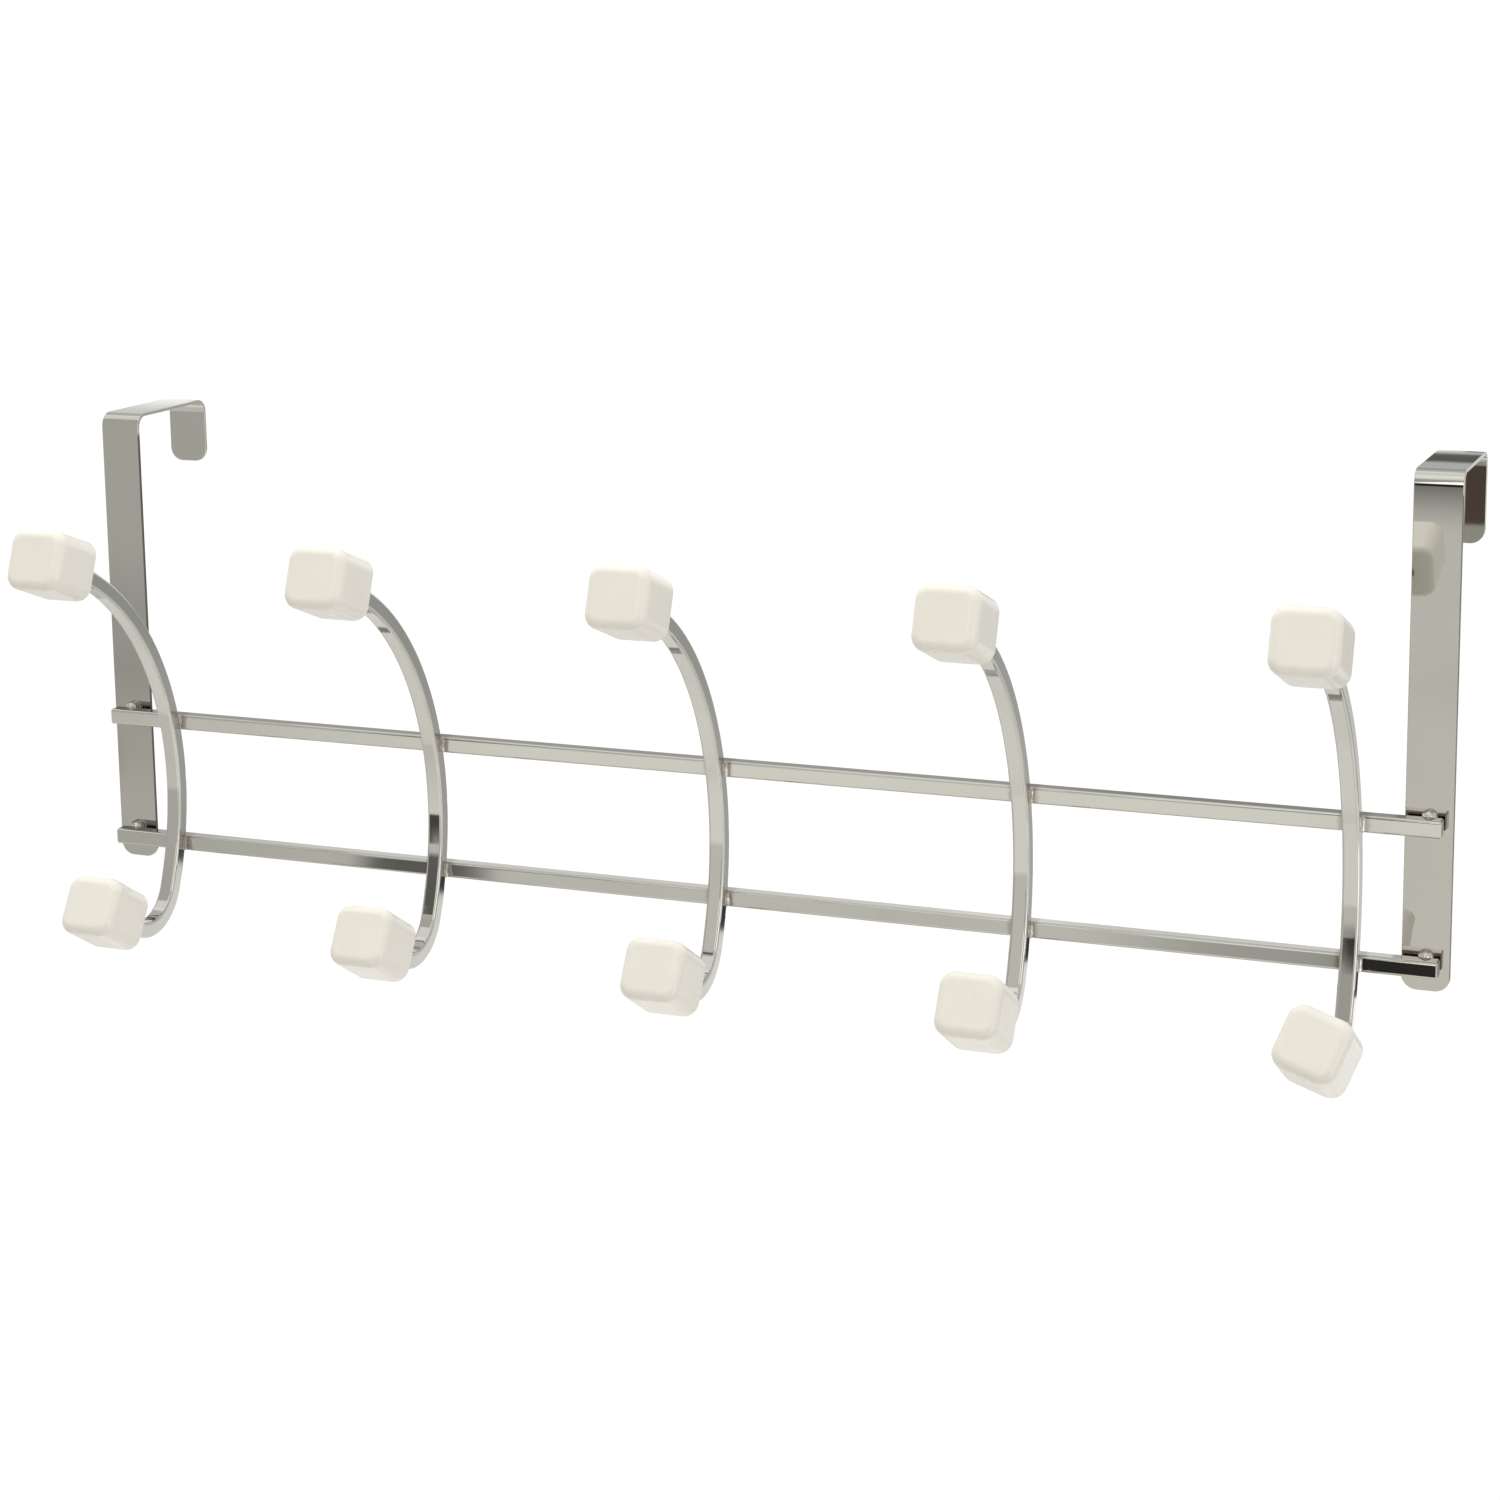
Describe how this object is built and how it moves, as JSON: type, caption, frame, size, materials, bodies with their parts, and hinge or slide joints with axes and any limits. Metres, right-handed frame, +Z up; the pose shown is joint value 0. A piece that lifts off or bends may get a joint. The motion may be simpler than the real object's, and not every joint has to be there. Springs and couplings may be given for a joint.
{
  "type": "over door hook rack",
  "caption": "Steel rack that hangs over a door's top edge on flat folded straps and carries bent square-rod hooks with a square knob at each end.",
  "frame": {"origin": "on the door's top front edge, midway between the straps: the front legs' back faces are at Y 0 and the bridges' undersides at Z 0", "axes": "+Z up, +Y from the room through the door, so the knobs point to -Y; +X to the right seen from the knobs' side"},
  "size_m": [0.48, 0.1387, 0.1825],
  "materials": {
    "chrome_plate": "bright polished plate",
    "weld_chrome": "plated weld metal, rougher",
    "knob_glaze": "glossy cream glaze"
  },
  "bodies": {
    "root": {"strap_left": "chrome_plate", "strap_right": "chrome_plate", "upper_rail": "chrome_plate", "lower_rail": "chrome_plate", "upper_weld_left": "weld_chrome", "upper_weld_right": "weld_chrome", "lower_weld_left": "weld_chrome", "lower_weld_right": "weld_chrome", "arm_1": "chrome_plate", "arm_2": "chrome_plate", "arm_3": "chrome_plate", "arm_4": "chrome_plate", "arm_5": "chrome_plate", "upper_knob_1": "knob_glaze", "upper_knob_2": "knob_glaze", "upper_knob_3": "knob_glaze", "upper_knob_4": "knob_glaze", "upper_knob_5": "knob_glaze", "lower_knob_1": "knob_glaze", "lower_knob_2": "knob_glaze", "lower_knob_3": "knob_glaze", "lower_knob_4": "knob_glaze", "lower_knob_5": "knob_glaze"}
  },
  "joints": []
}
